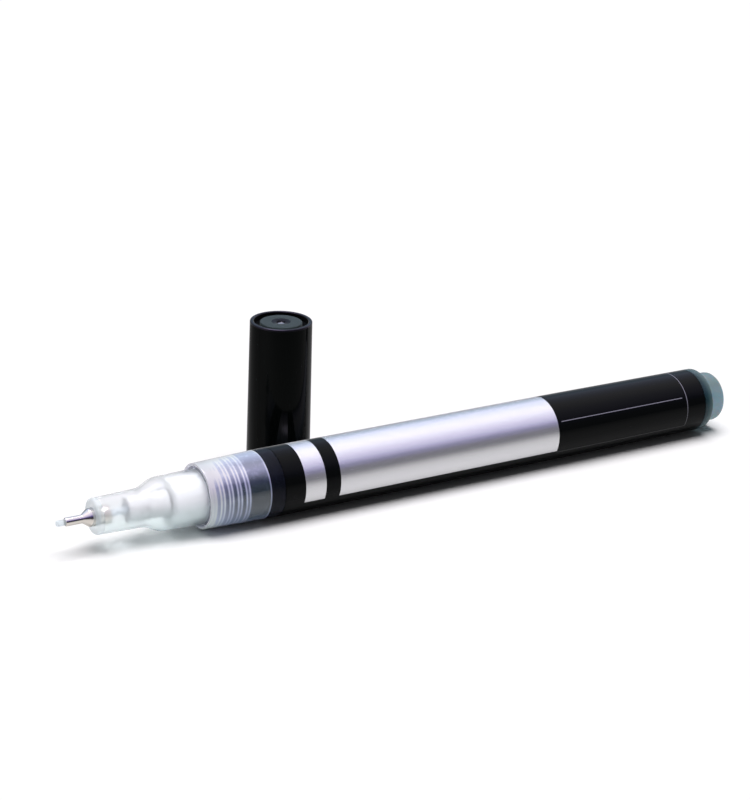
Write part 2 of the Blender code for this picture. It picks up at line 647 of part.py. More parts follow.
def make_cap_liner(cutters, parent):
    flange_top = CAP_WEB_BOTTOM - END_GAP
    flange = cap_bore_radius(flange_top) - SEAT_GAP
    head = liner_head_radius()
    dish = LINER_TOP - DIMPLE_DEPTH
    outline = [(0, dish - PIT_DEPTH)]
    outline += arc((0, dish), (PIT_RADIUS, PIT_DEPTH), -90 + 90 / ARC_STEPS, 0, ARC_STEPS - 1)
    outline += [(DIMPLE_RADIUS, LINER_TOP),
                (head - LINER_HEAD_EDGE, LINER_TOP),
                (head, LINER_TOP - LINER_HEAD_EDGE),
                (head, flange_top),
                (flange, flange_top),
                (flange, flange_top - LINER_FLANGE_THICKNESS),
                (LINER_RADIUS, flange_top - LINER_FLANGE_THICKNESS),
                (LINER_RADIUS, LINER_MOUTH),
                (LINER_BORE_RADIUS + LINER_SEAL_GAP, LINER_MOUTH),
                (LINER_BORE_RADIUS, LINER_MOUTH + LINER_SEAL_GAP),
                (LINER_BORE_RADIUS, LINER_SHOULDER),
                (LINER_TIP_RADIUS, LINER_SHOULDER),
                (LINER_TIP_RADIUS, LINER_CAVITY_TOP),
                (0, LINER_CAVITY_TOP)]
    item = turned("cap_liner", outline, 0)
    ribs = liner_rib_shape(flange_top - LINER_FLANGE_THICKNESS / 2)
    cutters.objects.link(ribs)
    ribs.parent = parent
    ribs.hide_render = True
    ribs.display_type = "WIRE"
    join = item.modifiers.new("Ribs", "BOOLEAN")
    join.object = ribs
    join.solver = "EXACT"
    join.operation = "UNION"
    return item


def liner_rib_shape(top):
    """Crush ribs that centre the liner tube in the shell; they run up into the flange."""
    bottom = top - LINER_RIB_LENGTH
    crest = cap_bore_radius(top) - SEAT_GAP * 2
    root = LINER_RADIUS - LINER_WALL / 2
    mesh = bpy.data.meshes.new("liner_ribs")
    shape = bmesh.new()
    size = Matrix.Diagonal((crest - root, LINER_RIB_WIDTH, top - bottom, 1))
    spot = Matrix.Translation(((crest + root) / 2, 0, (top + bottom) / 2))
    for index in range(LINER_RIB_COUNT):
        turn = Matrix.Rotation(FULL_TURN * index / LINER_RIB_COUNT, 4, "Z")
        bmesh.ops.create_cube(shape, size=1, matrix=turn @ spot @ size)
    shape.to_mesh(mesh)
    shape.free()
    return bpy.data.objects.new("liner_ribs", mesh)


def build():
    clear_scene()
    parts = new_collection("nail_art_pen")
    cutters = new_collection("cutters")

    clear_plastic = finish("natural_clear_plastic", (0.72, 0.80, 0.84), 0.18, clearness=0.8)
    smoky_plastic = finish("natural_barrel_plastic", (0.40, 0.50, 0.54), 0.16, clearness=0.7)
    milky_plastic = finish("milky_plastic", (0.85, 0.87, 0.88), 0.35, clearness=0.2)
    white_plastic = finish("white_plastic", (0.86, 0.87, 0.88), 0.4)
    felt = finish("white_felt", (0.82, 0.82, 0.80), 0.95)
    steel = finish("bright_steel", (0.62, 0.60, 0.58), 0.16, metallic=1.0)
    spring_steel = finish("spring_steel", (0.45, 0.45, 0.46), 0.28, metallic=1.0)
    rubber = finish("black_rubber", (0.02, 0.02, 0.02), 0.7)
    black_film = finish("black_label_film", (0.008, 0.008, 0.010), 0.14)
    black_plastic = finish("black_gloss_plastic", (0.006, 0.007, 0.008), 0.08)
    ink = finish("black_ink", (0.004, 0.005, 0.007), 0.1)

    pen = empty_at("pen_axis", parts, (PEN_X, PEN_Y, BARREL_RADIUS), (0, QUARTER_TURN, 0))
    cap = empty_at("cap_axis", parts, (PEN_X + CAP_ALONG, PEN_Y + CAP_ACROSS, 0), (0, 0, 0))

    place(make_barrel(), parts, pen, smoky_plastic)
    place(make_label(), parts, pen, black_film, LABEL_START)
    place(make_nozzle(), parts, pen, clear_plastic)
    place(make_needle_tip(), parts, pen, steel, SNOUT_FACE)
    place(make_nib(), parts, pen, white_plastic, NEEDLE_FRONT)
    place(make_feed_wick(), parts, pen, felt, CHAMBER_START + WICK_END_ROOM)
    place(make_valve_stem(), parts, pen, white_plastic, POPPET_FRONT)
    place(make_valve_housing(), parts, pen, milky_plastic, HOUSING_FRONT)
    place(make_valve_gasket(), parts, pen, rubber, SEAT_FACE + END_GAP)
    place(make_valve_spring(), parts, pen, spring_steel, SPRING_FRONT)
    place(make_spring_retainer(cutters, pen), parts, pen, white_plastic, RETAINER_FRONT)
    place(make_ink_charge(), parts, pen, ink, INK_FRONT)
    place(make_mixing_ball(), parts, pen, steel, BALL_REST)
    place(make_tail_plug(), parts, pen, smoky_plastic, PLUG_SHOULDER)
    place(make_cap_shell(), parts, cap, black_plastic)
    place(make_cap_liner(cutters, cap), parts, cap, black_plastic)


build()
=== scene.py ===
"""The looks of the nail art pen and its cap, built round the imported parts.

Lengths are in metres in the part's own frame. The pen lies along X, and a place along it is
measured from the collar rim towards the tail. Angles round the pen start at its front side,
facing -Y, and grow upwards, so that 90 degrees is the top line.
"""

import math
from collections import namedtuple

import bmesh
import bpy
from mathutils import Matrix, Vector


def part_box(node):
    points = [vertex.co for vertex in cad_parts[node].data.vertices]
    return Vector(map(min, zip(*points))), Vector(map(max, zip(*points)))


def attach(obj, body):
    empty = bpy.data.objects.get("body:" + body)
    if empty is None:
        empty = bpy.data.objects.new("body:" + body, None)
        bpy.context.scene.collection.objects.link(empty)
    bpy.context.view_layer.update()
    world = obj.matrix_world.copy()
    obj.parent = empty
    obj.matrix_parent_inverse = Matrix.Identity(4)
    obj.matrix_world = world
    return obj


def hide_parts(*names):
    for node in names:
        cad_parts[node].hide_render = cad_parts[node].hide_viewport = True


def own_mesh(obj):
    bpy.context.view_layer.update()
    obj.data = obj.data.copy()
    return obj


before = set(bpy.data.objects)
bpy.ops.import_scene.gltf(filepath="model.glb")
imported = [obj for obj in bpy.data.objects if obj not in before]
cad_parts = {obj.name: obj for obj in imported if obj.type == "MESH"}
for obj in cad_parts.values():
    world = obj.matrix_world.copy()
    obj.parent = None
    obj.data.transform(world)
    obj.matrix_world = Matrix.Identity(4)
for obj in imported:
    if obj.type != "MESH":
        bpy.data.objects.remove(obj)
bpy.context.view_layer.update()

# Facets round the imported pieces, and round the finer copies that show
BODY_FACETS = 32
SMALL_FACETS = 24
NIB_FACETS = 12
SHOWN_FACETS = 160
SMALL_SHOWN_FACETS = 96

# Turning outlines, and easing their corners
FULL_TURN = 2 * math.pi
WELD = 0.000001
OUTLINE_DIGITS = 7
STRAIGHT_ANGLE = math.radians(0.2)
CORNER_ANGLE = math.radians(32)
SHARP_ANGLE = math.radians(33)
EASE = 0.00005
EASE_STEPS = 3
EASE_SHARE_OF_EDGE = 0.4

# Printing on the label: places along the pen, angles round it, and line widths
STRIPE_START = 0.01634
STRIPE_END = 0.02000
BAND_START = 0.02266
BAND_END = 0.06502
SILVER_LOW_ANGLE = -24
SILVER_HIGH_ANGLE = 204
LINE_ANGLE = 31
LINE_START = 0.0658
LINE_END = 0.0917
RING_LINE = 0.09263
LOW_LINE_ANGLE = -27
LINE_WIDTH = 0.00014

# The ribs inside the collar, in millimetres from the rim, painted on its skin as lines with painted
# highlights on their edges and on the skirt's end
RIB_SEEN_FIRST = 0.5
RIB_SEEN_PITCH = 1.45
RIB_SEEN_COUNT = 5
RIB_SEEN_EDGE = 0.31
RIB_LINE_WIDTH = 0.42
RIB_LINE_FALLOFF = 0.8
RIB_TOP_COVER = 0.25
SKIRT_SEEN_END = 10.25
SKIRT_LINE_WIDTH = RIB_LINE_WIDTH * 1.3

# The tail's shade, which starts at this place and grows by so much in each millimetre
TAIL_SHADE_START = 96.4
TAIL_SHADE_GROWTH = 0.5

# Zones of the barrel, the nozzle and the cap
COLLAR_BORE = 0.0050
# How far into the bore the mouth's painted light reaches
MOUTH_END = 0.0012
NOZZLE_CLEAR_END = 0.0009
NOZZLE_OUTER_FACING = 0.3
CAP_BEVEL = 0.0003
CAP_RIM_INSIDE = 0.0044
DIMPLE_RADIUS = 0.0016
PIP_RADIUS = 0.00045

# Fine detail of the surfaces: noise scales per metre, how the noise is drawn out, and bump
# strengths and depths
MOULD_WAVES = 420
CLEAR_WAVES = 500
GLOSS_PATCHES = 900
SILVER_GRAIN = 26000
DISC_GRAIN = 12000
FIBRES = 9000
RING_STRETCH = (1.0, 0.02, 0.02)
FIBRE_STRETCH = (0.3, 1.0, 1.0)
MOULD_WAVINESS = 0.02
CAP_WAVINESS = 0.03
CLEAR_WAVINESS = 0.05
WAVE_DEPTH = 0.0002
FINE_GRAIN_DEPTH = 0.00001
GRAIN_DEPTH = 0.00002
FELT_DEPTH = 0.00005

# Opaque mouldings: colour, roughness, strength of the waves, and other shader values
MOULDINGS = {
    "label_black": ((0.0035, 0.004, 0.0042), 0.10, MOULD_WAVINESS, {"Specular IOR Level": 0.075}),
    "inner_white": ((0.95, 0.96, 0.97), 0.35, MOULD_WAVINESS, {}),
    "milky_white": ((0.94, 0.96, 0.98), 0.35, MOULD_WAVINESS, {}),
    "wet_ink": ((0.004, 0.006, 0.010), 0.12, MOULD_WAVINESS, {}),
    "rubber": ((0.02, 0.02, 0.02), 0.7, MOULD_WAVINESS, {}),
    "cap_gloss": ((0.002, 0.0028, 0.0026), 0.07, CAP_WAVINESS, {"Specular IOR Level": 0.05}),
    "cap_bevel": ((0.002, 0.0024, 0.003), 0.16, CAP_WAVINESS,
                  {"Specular IOR Level": 0.28, "Specular Tint": (0.86, 0.72, 1.0, 1.0)}),
    "cap_inside": ((0.001, 0.0012, 0.0012), 0.7, MOULD_WAVINESS, {"Specular IOR Level": 0.02}),
    "cap_dimple": ((0.006, 0.006, 0.010), 0.2, CAP_WAVINESS, {"Specular IOR Level": 0.06}),
    # The pip: a polished gate mark, with a painted highlight in its pale violet colour
    "cap_pip_and_highlight": ((0.05, 0.05, 0.07), 0.12, MOULD_WAVINESS, {"IOR": 3.0}),
}

# Clear plastics: colour, roughness, alpha seen straight on and edge on, other shader values
CLEAR_PLASTICS = {
    "inked_plastic": ((0.009, 0.011, 0.020), 0.08, 0.6, 0.95, {"Specular IOR Level": 0.15}),
    "bore_plastic": ((0.80, 0.86, 0.94), 0.15, 0.05, 0.25, {}),
    # Painted light: a pale, nearly opaque mouth over the shade in the gap round the nozzle's neck
    "mouth_painted_light": ((0.92, 0.92, 1.0), 0.4, 0.8, 0.9, {}),
    "skirt_plastic": ((0.80, 0.84, 0.92), 0.15, 0.25, 0.5, {}),
    "nozzle_front": ((0.84, 0.95, 1.0), 0.3, 0.42, 0.55, {"IOR": 1.45}),
    "nozzle_bore": ((0.92, 0.97, 0.98), 0.3, 0.06, 0.2, {}),
}

# Steels: colour, roughness, and the scale of the rings that the tool leaves
STEELS = {
    "needle_steel": ((0.80, 0.75, 0.69), 0.09, 12000),
    "ball_steel": ((0.6, 0.6, 0.6), 0.1, 3000),
    "spring_wire": ((0.5, 0.5, 0.51), 0.2, 8000),
}

# Haze and alpha of what is seen edge on
CLEAR_BLEND = 0.35
EDGE_BLEND = 0.5
EDGE_POWER = 2.0
COLLAR_EDGE_HAZE = 0.55
TAIL_EDGE_SHADE = 0.9

# Ramps, as (position, level or colour). A height is a share of the pen's diameter, and the level
# of a patch is a factor of the material's roughness.
ROUGHNESS_BY_PATCH = [(0.3, 0.8), (0.75, 1.35)]
# Painted shade: the printed lines darker low on the pen
LINE_PAINTED_SHADE_BY_HEIGHT = [(0.26, (0.03, 0.03, 0.032)), (0.45, (0.13, 0.13, 0.15)),
                  (0.7, (0.26, 0.25, 0.32))]
SILVER_BY_GRAIN = [(0.3, (0.77, 0.77, 0.79)), (0.7, (0.83, 0.83, 0.85))]
DISC_BY_GRAIN = [(0.3, (0.030, 0.042, 0.043)), (0.7, (0.038, 0.052, 0.053))]
FELT_BY_FIBRE = [(0.25, (0.74, 0.75, 0.77)), (0.7, (0.92, 0.93, 0.94))]
HAZE_ALONG_COLLAR = [(0.0, 0.92), (0.14, 0.58), (0.28, 0.34), (0.45, 0.22), (0.62, 0.18),
                     (0.68, 0.05)]
# Painted light and highlight: the collar hazier and lighter near its top
COLLAR_PAINTED_LIGHT_BY_HEIGHT = [(0.76, 0.0), (0.88, 0.40), (0.95, 0.30), (1.0, 0.46)]
CLOUDS_BY_NOISE = [(0.48, 0.0), (0.75, 0.16)]
# Painted light: the collar's clouds show more towards the top
CLOUDS_PAINTED_LIGHT_BY_HEIGHT = [(0.45, 0.2), (0.8, 1.0)]
# Painted highlights: the rib lines brightest from half way up to near the top, faint low down
RIB_HIGHLIGHTS_BY_HEIGHT = [(0.1, 0.08), (0.4, 0.40), (0.55, 0.62), (0.85, 0.50), (0.97, 0.2)]
# Colour of the collar by its haze and painted light together
COLLAR_BY_COVER = [(0.0, (0.008, 0.022, 0.028)), (0.2, (0.08, 0.11, 0.15)),
                   (0.5, (0.33, 0.36, 0.53)), (0.75, (0.60, 0.65, 0.86)),
                   (1.0, (0.96, 0.98, 1.0))]
# Painted light: the collar teal low down and violet higher up
COLLAR_PAINTED_LIGHT_TINT_BY_HEIGHT = [(0.2, (0.90, 1.0, 0.98)), (0.5, (0.91, 0.98, 1.0)),
                         (0.75, (0.96, 0.89, 1.0)), (0.93, (0.98, 0.94, 1.0)),
                         (1.0, (0.94, 1.0, 1.0))]
COLLAR_ALPHA_ALONG = [(0.0, 0.50), (0.25, 0.70), (0.6, 0.80)]
COLLAR_ALPHA_OF_COVER = 0.2
TAIL_BY_SHADE = [(0.05, (0.011, 0.030, 0.040)), (0.5, (0.024, 0.058, 0.072)),
                 (0.95, (0.075, 0.130, 0.140)), (1.0, (0.10, 0.16, 0.17))]
NOZZLE_ALPHA_BY_FACING = [(0.45, 0.75), (0.95, 0.45)]
# Painted light and shade: the nozzle greenish and darker low down, violet-white at the middle and
# bluish on top
NOZZLE_PAINTED_LIGHT_BY_HEIGHT = [(0.15, (0.76, 0.90, 0.895)), (0.45, (0.80, 0.90, 0.91)),
                    (0.62, (0.96, 0.95, 1.0)), (0.85, (0.99, 0.99, 1.0)),
                    (1.0, (0.90, 0.98, 1.0))]
# Painted light and shade: the plug lighter at half its height and darker above and below
PLUG_PAINTED_LIGHT_BY_HEIGHT = [(0.30, (0.25, 0.38, 0.42)), (0.47, (0.34, 0.50, 0.59)),
                  (0.60, (0.30, 0.45, 0.52)), (0.80, (0.19, 0.28, 0.30))]

# Camera, fitted to the outlines of the pen and the cap
IMAGE_HEIGHT = 800
FOCAL_PIXELS = 2123.2
SENSOR = 36.0
CLIP_START = 0.01
CAMERA_FROM_RIM = Vector((-0.1374, -0.2684, 0.1356))
CAMERA_YAW = math.radians(32.22)
CAMERA_PITCH = math.radians(20.63)
CAMERA_ROLL = math.radians(2.32)

# Light: the plain level of the fill and the lamp
ROOM_COLOR = (0.95, 0.96, 1.0)
ROOM_FILL = 0.07
LAMP_COLOR = (1.0, 0.985, 1.0)
LAMP_LEVEL = 0.95
LAMP_WIDTH = math.radians(46)
LAMP_LEAN = math.radians(1)
LAMP_HEIGHT = 0.5

# The floor: its white, as it lights the pen and as it shows, and as gloss mirrors it at each
# distance in front of the pen and behind it
FLOOR_WHITE = 0.85
FLOOR_SHOWN = 1.02
FLOOR_STOPS = [(0.0, 0.80), (0.010, 0.80), (0.020, 0.72), (0.040, 0.55), (0.080, 0.35)]
FLOOR_HALF_SIZE = 2.0
FLOOR_GAP = 0.00002

# The room, as gloss mirrors it at each angle round the X axis, from the front horizon over the
# top to the one behind, and a small lamp in it
ROOM_PEAK = 1.35
ROOM_STOPS = [(0, (0.12, 0.14, 0.18)), (3, (0.05, 0.05, 0.065)), (23, (0.06, 0.055, 0.09)),
              (28, (0.08, 0.07, 0.22)), (34, (0.13, 0.12, 0.32)), (42, (0.36, 0.33, 0.60)),
              (50, (0.62, 0.58, 0.88)), (58, (0.76, 0.72, 1.02)), (66, (0.86, 0.82, 1.10)),
              (74, (1.00, 0.96, 1.22)), (88, (1.24, 1.20, 1.34)), (104, (1.24, 1.22, 1.34)),
              (112, (1.12, 1.14, 1.34)), (120, (1.02, 1.06, 1.32)), (136, (0.82, 0.90, 1.20)),
              (144, (0.74, 0.85, 1.10)), (152, (0.50, 0.64, 0.86)), (160, (0.28, 0.36, 0.46)),
              (180, (0.40, 0.45, 0.50))]
SPOT_TOWARDS = Vector((0.0, 0.3, 1.0)).normalized()
SPOT_WIDTH = math.radians(16)
SPOT_LEVEL = 10.0
SPOT_COLOR = (0.86, 0.80, 1.0)


class Axis:
    """A line that round pieces are turned about, with two directions square to it."""

    def __init__(self, origin, along, side):
        self.origin = Vector(origin)
        self.along = Vector(along)
        self.side = Vector(side)
        self.up = self.along.cross(self.side)

    def spoke(self, angle):
        return self.side * math.cos(angle) + self.up * math.sin(angle)

    def point(self, radius, along):
        return self.origin + self.along * along + self.side * radius


def middle(node):
    """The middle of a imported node's box."""
    low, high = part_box(node)
    return (low + high) / 2


pen_middle = middle("label")
cap_middle = middle("cap_shell")
RIM_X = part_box("barrel")[0].x
PEN_RADIUS = (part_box("label")[1].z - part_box("label")[0].z) / 2
PEN_AXIS = Axis((RIM_X, pen_middle.y, pen_middle.z), (1, 0, 0), (0, 0, -1))
CAP_AXIS = Axis((cap_middle.x, cap_middle.y, 0), (0, 0, 1), (1, 0, 0))
LINE_HALF_ANGLE = math.degrees(LINE_WIDTH / PEN_RADIUS) / 2


def cut_lines(node, axis, facets):
    """The lines where a half plane cuts the node, as each point's neighbours.

    The mesh is cut half a facet away from its corners, where a face is nearest to the axis. A
    point is (radius, along).
    """
    half = math.pi / facets
    spoke = axis.spoke(half)
    mesh = bmesh.new()
    mesh.from_mesh(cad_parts[node].data)
    bmesh.ops.remove_doubles(mesh, verts=mesh.verts, dist=WELD)
    everything = mesh.verts[:] + mesh.edges[:] + mesh.faces[:]
    cut = bmesh.ops.bisect_plane(mesh, geom=everything, dist=WELD / 100,
                                 plane_co=axis.origin, plane_no=axis.along.cross(spoke))
    links = {}
    for edge in cut["geom_cut"]:
        if not isinstance(edge, bmesh.types.BMEdge):
            continue
        offsets = [vert.co - axis.origin for vert in edge.verts]
        ends = sorted((offset.dot(spoke) / math.cos(half), offset.dot(axis.along))
                      for offset in offsets)
        (low, low_along), (high, high_along) = ends
        if high < WELD:
            continue
        if low < 0:
            low_along = low_along + (high_along - low_along) * -low / (high - low)
            low = 0.0
        first = (round(low, OUTLINE_DIGITS), round(low_along, OUTLINE_DIGITS))
        second = (round(high, OUTLINE_DIGITS), round(high_along, OUTLINE_DIGITS))
        if first != second:
            links.setdefault(first, set()).add(second)
            links.setdefault(second, set()).add(first)
    mesh.free()
    return links


def section(node, axis, facets):
    """The node's outline as (radius, along) points, and whether it closes on itself."""
    links = cut_lines(node, axis, facets)
    loose = [point for point, others in links.items() if len(others) == 1]
    start = loose[0] if loose else next(iter(links))
    outline = [start]
    previous = None
    while True:
        onward = [point for point in links[outline[-1]] if point != previous]
        if not onward or (onward[0] == start and len(outline) > 2):
            break
        previous = outline[-1]
        outline.append(onward[0])
    return without_straight_points(outline, not loose), not loose


def turn_between(before, point, after):
    """The angle that an outline turns by at the point."""
    first = math.atan2(point[1] - before[1], point[0] - before[0])
    second = math.atan2(after[1] - point[1], after[0] - point[0])
    return abs((second - first + math.pi) % FULL_TURN - math.pi)


def with_neighbours(outline, closed):
    """Each point with the ones before and after it, and whether it lies between two edges."""
    count = len(outline)
    for index, point in enumerate(outline):
        yield (outline[index - 1], point, outline[(index + 1) % count],
               closed or 0 < index < count - 1)


def without_straight_points(outline, closed):
    return [point for before, point, after, inner in with_neighbours(outline, closed)
            if not inner or turn_between(before, point, after) >= STRAIGHT_ANGLE]


def eased(outline, closed):
    """The outline with its sharp corners rounded a little."""
    result = []
    for before, point, after, inner in with_neighbours(outline, closed):
        before, corner, after = Vector(before), Vector(point), Vector(after)
        if not inner or turn_between(before, corner, after) < CORNER_ANGLE:
            result.append(point)
            continue
        reach = min(EASE, (corner - before).length * EASE_SHARE_OF_EDGE,
                    (after - corner).length * EASE_SHARE_OF_EDGE)
        first = corner + (before - corner).normalized() * reach
        last = corner + (after - corner).normalized() * reach
        for step in range(EASE_STEPS + 1):
            share = step / EASE_STEPS
            spot = first.lerp(corner, share).lerp(corner.lerp(last, share), share)
            result.append((spot.x, spot.y))
    return result


def shade(mesh):
    """Shades the mesh smooth, apart from its sharp edges."""
    mesh.shade_smooth()
    mesh.set_sharp_from_angle(angle=SHARP_ANGLE)


def turned(name, outline, closed, axis, facets):
    """A mesh object turned from the outline about the axis."""
    shape = bmesh.new()
    verts = [shape.verts.new(axis.point(radius, along)) for radius, along in outline]
    edges = [shape.edges.new(pair) for pair in zip(verts, verts[1:])]
    if closed:
        edges.append(shape.edges.new((verts[-1], verts[0])))
    bmesh.ops.spin(shape, geom=verts + edges, cent=axis.origin, axis=axis.along,
                   angle=FULL_TURN, steps=facets, use_merge=True)
    bmesh.ops.remove_doubles(shape, verts=shape.verts, dist=WELD / 10)
    bmesh.ops.recalc_face_normals(shape, faces=shape.faces)
    mesh = bpy.data.meshes.new(name)
    shape.to_mesh(mesh)
    shape.free()
    shade(mesh)
    item = bpy.data.objects.new(name, mesh)
    bpy.context.scene.collection.objects.link(item)
    even = item.modifiers.new("even_shading", "WEIGHTED_NORMAL")
    even.keep_sharp = True
    return item


def fine_copy(name, node, body, axis, material, facets=BODY_FACETS, shown=SHOWN_FACETS):
    """A smooth, eased copy of a packed round node, which it replaces."""
    outline, closed = section(node, axis, facets)
    item = turned(name, eased(outline, closed), closed, axis, shown)
    item.data.materials.append(material)
    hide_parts(node)
    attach(item, body)
    return item


Place = namedtuple("Place", "angle along radius outward")


def place_of(face, axis):
    """Where a face lies: degrees round the axis, the place along it, and the radius.

    The last value is 1 where the face looks away from the axis, and -1 where it looks at it.
    """
    offset = face.calc_center_median() - axis.origin
    along = offset.dot(axis.along)
    spoke = offset - axis.along * along
    angle = math.degrees(math.atan2(offset.z, -offset.y)) % 360
    return Place(angle, along, spoke.length, face.normal.dot(spoke.normalized()))


def plane_cut(shape, point, normal):
    everything = shape.verts[:] + shape.edges[:] + shape.faces[:]
    bmesh.ops.bisect_plane(shape, geom=everything, dist=WELD / 10, plane_co=point,
                           plane_no=normal)


def paint(item, axis, places, angles, choose, *materials):
    """Cuts a round piece at the places and angles, and gives each face the material whose name
    choose returns for its place."""
    for material in materials:
        item.data.materials.append(material)
    names = [material.name for material in item.data.materials]
    shape = bmesh.new()
    shape.from_mesh(item.data)
    for along in places:
        plane_cut(shape, axis.point(0, along), axis.along)
    for angle in angles:
        turn = math.radians(angle)
        plane_cut(shape, axis.origin, Vector((0, math.sin(turn), math.cos(turn))))
    for face in shape.faces:
        face.material_index = names.index(choose(place_of(face, axis)))
    shape.to_mesh(item.data)
    shape.free()
    shade(item.data)


class Nodes:
    """Short calls to build a node tree."""

    def __init__(self, tree):
        self.tree = tree
        self.place = None

    def feed(self, socket, value):
        """Links the socket to another one, or gives it a value."""
        if isinstance(value, bpy.types.NodeSocket):
            self.tree.links.new(value, socket)
        else:
            socket.default_value = value

    def node(self, kind, **inputs):
        made = self.tree.nodes.new(kind)
        for socket, value in inputs.items():
            self.feed(made.inputs[socket], value)
        return made

    def math(self, operation, *values):
        made = self.node("ShaderNodeMath")
        made.operation = operation
        for socket, value in zip(made.inputs, values):
            self.feed(socket, value)
        return made.outputs[0]

    def ramp(self, value, stops):
        """Maps a value to grey levels or colours through (position, level or colour) stops."""
        made = self.node("ShaderNodeValToRGB", Fac=value)
        band = made.color_ramp
        while len(band.elements) < len(stops):
            band.elements.new(0.5)
        for element, (position, color) in zip(band.elements, stops):
            if isinstance(color, float):
                color = (color, color, color)
            element.position = position
            element.color = (*color, 1.0)
        return made.outputs["Color"]

    def where(self):
        """The place in the part's frame, in metres."""
        if self.place is None:
            self.place = self.node("ShaderNodeTexCoord").outputs["Object"]
        return self.place

    def parts_of(self, vector):
        return self.node("ShaderNodeSeparateXYZ", Vector=vector).outputs

    def ray_kind(self, *names):
        """1 for rays of the named kinds, else 0."""
        path = self.node("ShaderNodeLightPath")
        total = path.outputs[names[0]]
        for name in names[1:]:
            total = self.math("MAXIMUM", total, path.outputs[name])
        return total

    def background(self, color, strength):
        if not isinstance(color, bpy.types.NodeSocket):
            color = (*color, 1)
        return self.node("ShaderNodeBackground", Color=color, Strength=strength).outputs[0]

    def mixed(self, share, first, second):
        """The first shader, giving way to the second as the share goes from 0 to 1."""
        made = self.node("ShaderNodeMixShader")
        for socket, value in zip(made.inputs, (share, first, second)):
            self.feed(socket, value)
        return made.outputs[0]


class Shader(Nodes):
    """A Principled material with short calls to build its procedural detail."""

    def __init__(self, name, color, roughness, values=None):
        self.material = bpy.data.materials.new(name)
        self.material.use_nodes = True
        super().__init__(self.material.node_tree)
        self.main = self.tree.nodes["Principled BSDF"]
        self.drive("Base Color", (*color, 1.0))
        self.drive("Roughness", roughness)
        for socket, value in (values or {}).items():
            self.drive(socket, value)

    def drive(self, socket, value):
        self.feed(self.main.inputs[socket], value)

    def noise(self, scale, detail, roughness=0.5, stretch=None):
        """Noise at the place, which is scaled first by the stretch along X, Y and Z."""
        vector = self.where()
        if stretch:
            vector = self.node("ShaderNodeMapping", Vector=vector, Scale=stretch).outputs["Vector"]
        return self.node("ShaderNodeTexNoise", Vector=vector, Scale=scale, Detail=detail,
                         Roughness=roughness).outputs["Fac"]

    def bump(self, height, strength, distance):
        made = self.node("ShaderNodeBump", Height=height, Strength=strength, Distance=distance)
        self.drive("Normal", made.outputs["Normal"])

    def waves(self, scale, strength):
        """The slight waves of a moulded surface."""
        self.bump(self.noise(scale, detail=2.0), strength, WAVE_DEPTH)

    def facing(self, blend=EDGE_BLEND):
        """0 where the surface is seen straight on, and 1 where it is seen edge on."""
        return self.node("ShaderNodeLayerWeight", Blend=blend).outputs["Facing"]

    def edge_on(self, scale):
        """More of the haze where it is seen edge on, up to the scale."""
        return self.math("MULTIPLY", self.math("POWER", self.facing(), EDGE_POWER), scale)

    def height_share(self):
        """The height above the floor, as a share of the pen's diameter."""
        return self.math("DIVIDE", self.parts_of(self.where())["Z"], 2 * PEN_RADIUS)

    def along_pen(self):
        """The place along the pen, in millimetres from the collar rim."""
        return self.math("MULTIPLY_ADD", self.parts_of(self.where())["X"], 1000.0, -RIM_X * 1000)

    def tinted(self, color, tint):
        """The colour multiplied by the tint."""
        made = self.node("ShaderNodeMix")
        made.data_type = "RGBA"
        made.blend_type = "MULTIPLY"
        share, first, second = made.inputs[0], made.inputs[6], made.inputs[7]
        self.feed(share, 1.0)
        self.feed(first, color)
        self.feed(second, tint)
        return made.outputs[2]


def moulded(name):
    """Glossy moulded plastic: slight waves of the surface and uneven gloss."""
    color, roughness, waviness, values = MOULDINGS[name]
    shader = Shader(name, color, roughness, values)
    shader.waves(MOULD_WAVES, waviness)
    patches = shader.noise(GLOSS_PATCHES, detail=4.0, roughness=0.6)
    levels = [(position, roughness * level) for position, level in ROUGHNESS_BY_PATCH]
    shader.drive("Roughness", shader.ramp(patches, levels))
    return shader.material


def clear(name):
    """Clear plastic, which shows more of itself where it is seen edge on."""
    color, roughness, alpha, edge_alpha, values = CLEAR_PLASTICS[name]
    shader = Shader(name, color, roughness, values)
    shader.waves(CLEAR_WAVES, CLEAR_WAVINESS)
    facing = shader.facing(CLEAR_BLEND)
    shader.drive("Alpha", shader.math("MULTIPLY_ADD", facing, edge_alpha - alpha, alpha))
    return shader.material


def steel(name):
    """Turned or drawn steel, with the fine rings that the tool leaves."""
    color, roughness, rings = STEELS[name]
    shader = Shader(name, color, roughness, {"Metallic": 1.0})
    lines = shader.noise(rings, detail=2.0, stretch=RING_STRETCH)
    shader.bump(lines, strength=0.06, distance=FINE_GRAIN_DEPTH)
    return shader.material


def label_silver():
    """Satin silver film with a fine grain."""
    shader = Shader("label_silver", (0.80, 0.80, 0.82), 0.26, {"Metallic": 0.76})
    grain = shader.noise(SILVER_GRAIN, detail=2.0)
    shader.drive("Base Color", shader.ramp(grain, SILVER_BY_GRAIN))
    shader.bump(grain, strength=0.04, distance=FINE_GRAIN_DEPTH)
    return shader.material


def label_line():
    """The thin printed lines, with painted shade that makes them fainter low on the pen."""
    shader = Shader("label_line", (0.26, 0.25, 0.32), 0.3, {"Specular IOR Level": 0.2})
    shader.waves(MOULD_WAVES, MOULD_WAVINESS)
    # Painted shade: the line colour darkens towards the bottom of the pen
    shader.drive("Base Color", shader.ramp(shader.height_share(), LINE_PAINTED_SHADE_BY_HEIGHT))
    return shader.material


def ridge(shader, place, center, width):
    """1 at the centre, falling smoothly to 0 at half the width on each side."""
    offset = shader.math("ABSOLUTE", shader.math("SUBTRACT", place, center))
    slope = shader.math("MULTIPLY_ADD", offset, -2.0 / width, 1.0)
    return shader.math("POWER", shader.math("MAXIMUM", slope, 0.0), RIB_LINE_FALLOFF)


